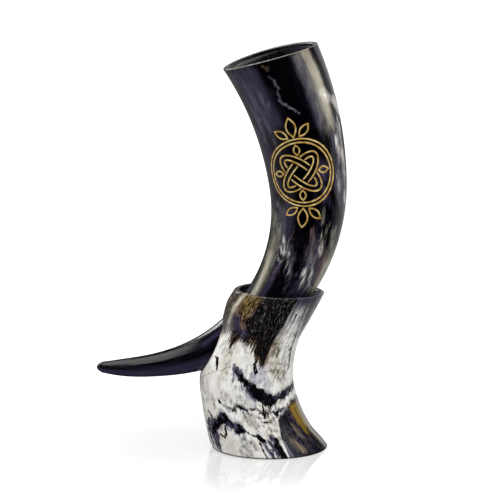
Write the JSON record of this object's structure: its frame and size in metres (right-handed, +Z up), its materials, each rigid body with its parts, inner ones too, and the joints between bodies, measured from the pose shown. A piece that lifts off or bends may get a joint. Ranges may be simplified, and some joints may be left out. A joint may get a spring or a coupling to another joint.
{
  "type": "drinking horn",
  "caption": "Curved drinking horn of dark polished horn with a gold-filled engraved knot, standing in a hollow marbled horn stand that its tip passes through.",
  "frame": {"origin": "middle of the object's length and depth, at the level of the table that the foot stands on", "axes": "+Z up, +X towards the outside of the horn's bend and away from its tip, -Y towards the front with the ornament"},
  "size_m": [0.185, 0.08, 0.3021],
  "materials": {
    "dark_horn": "polished natural horn, near black with violet-grey and cream streaks along the grain",
    "lining": "clear brown food-safe sealing film over dark horn",
    "gold": "gold fill, satin",
    "marbled_horn": "polished natural horn, cream and white with dark brown and violet-grey marbling"
  },
  "bodies": {
    "stand": {"stand_shell": "marbled_horn"},
    "horn": {"horn_shell": "dark_horn", "cup_lining": "lining", "inlay_outer_ring": "gold", "inlay_inner_ring": "gold", "inlay_rising_loop": "gold", "inlay_falling_loop": "gold", "inlay_petals": "gold", "inlay_upper_leaves": "gold", "inlay_lower_leaves": "gold"}
  },
  "joints": [
    {"name": "horn_draw", "type": "hinge", "parent": "stand", "child": "horn", "pos_m": [-0.06229, 0, 0.1882], "axis": [0, -1, 0], "range_deg": [0, 75]}
  ]
}
